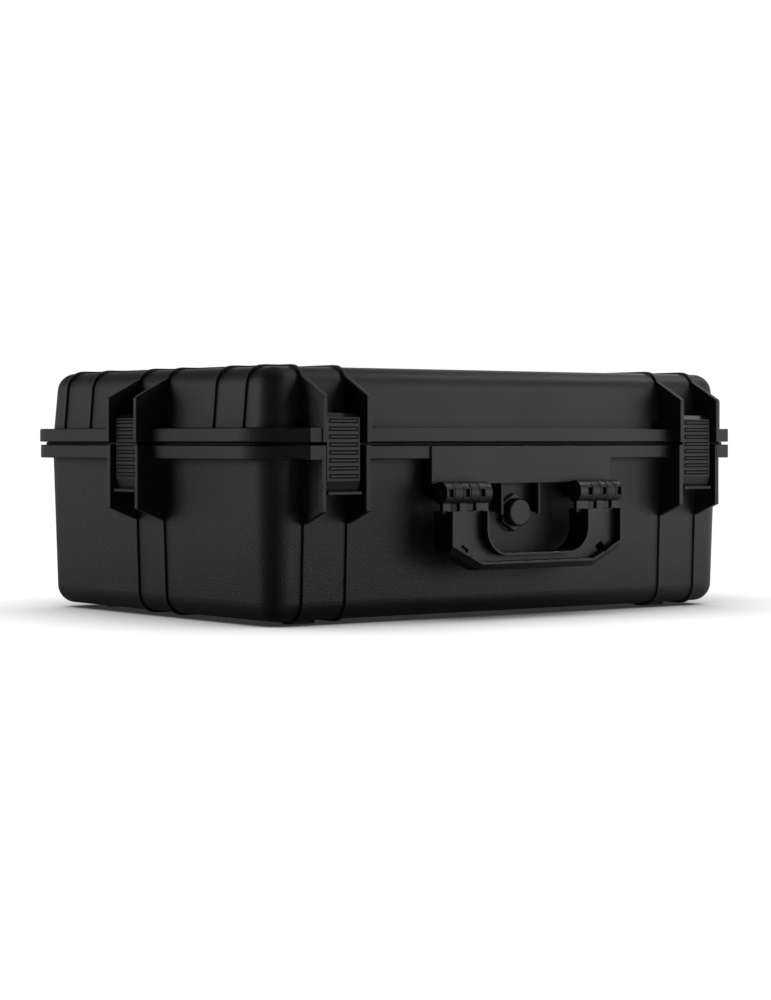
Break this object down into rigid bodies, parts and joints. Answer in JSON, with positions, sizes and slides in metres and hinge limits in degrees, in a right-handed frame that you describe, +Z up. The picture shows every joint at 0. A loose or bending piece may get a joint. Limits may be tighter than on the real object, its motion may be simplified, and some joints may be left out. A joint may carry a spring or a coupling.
{
  "type": "hard case",
  "caption": "Black moulded equipment case with a hinged lid, draw latches, guard plates, a folding front handle and a pressure valve.",
  "frame": {"origin": "on the resting plane under the middle of the case's box", "axes": "+X along the case's length, to the right seen from the front, +Y from front to rear hinges, +Z up"},
  "size_m": [0.545, 0.4066, 0.2055],
  "materials": {
    "case_plastic": "fine moulded texture",
    "latch_plastic": "satin",
    "fitting_plastic": "fine moulded texture",
    "pin_steel": "drawn",
    "seal_rubber": "matt"
  },
  "bodies": {
    "base": {"base_shell": "case_plastic", "hinge_pin_left": "pin_steel", "hinge_pin_right": "pin_steel", "handle_pin_left": "pin_steel", "handle_pin_right": "pin_steel", "valve_body": "fitting_plastic", "valve_seal": "seal_rubber", "valve_nut": "fitting_plastic"},
    "lid": {"lid_shell": "case_plastic", "lid_gasket": "seal_rubber", "latch_pin_front_left": "pin_steel", "latch_pin_front_right": "pin_steel", "latch_pin_side_left": "pin_steel", "latch_pin_side_right": "pin_steel"},
    "latch_front_left": {"latch_front_left": "latch_plastic"},
    "latch_front_right": {"latch_front_right": "latch_plastic"},
    "latch_side_left": {"latch_side_left": "latch_plastic"},
    "latch_side_right": {"latch_side_right": "latch_plastic"},
    "handle": {"handle": "fitting_plastic"},
    "valve_knob": {"valve_knob": "fitting_plastic"}
  },
  "joints": [
    {"name": "lid_hinge", "type": "hinge", "parent": "base", "child": "lid", "pos_m": [0, 0.19675, 0.143], "axis": [-1, 0, 0], "range_deg": [0, 105]},
    {"name": "latch_front_left_swing", "type": "hinge", "parent": "lid", "child": "latch_front_left", "pos_m": [-0.1894, -0.17305, 0.1607], "axis": [-1, 0, 0], "range_deg": [0, 85]},
    {"name": "latch_front_right_swing", "type": "hinge", "parent": "lid", "child": "latch_front_right", "pos_m": [0.1894, -0.17305, 0.1607], "axis": [-1, 0, 0], "range_deg": [0, 85]},
    {"name": "latch_side_left_swing", "type": "hinge", "parent": "lid", "child": "latch_side_left", "pos_m": [-0.2498, 0.00375, 0.1607], "axis": [0, 1, 0], "range_deg": [0, 85]},
    {"name": "latch_side_right_swing", "type": "hinge", "parent": "lid", "child": "latch_side_right", "pos_m": [0.2498, 0.00375, 0.1607], "axis": [0, -1, 0], "range_deg": [0, 85]},
    {"name": "handle_swing", "type": "hinge", "parent": "base", "child": "handle", "pos_m": [0, -0.19175, 0.1034], "axis": [-1, 0, 0], "range_deg": [0, 95]},
    {"name": "valve_knob_turn", "type": "hinge", "parent": "base", "child": "valve_knob", "pos_m": [0, -0.17225, 0.0862], "axis": [0, 1, 0], "range_deg": [0, 180]}
  ]
}
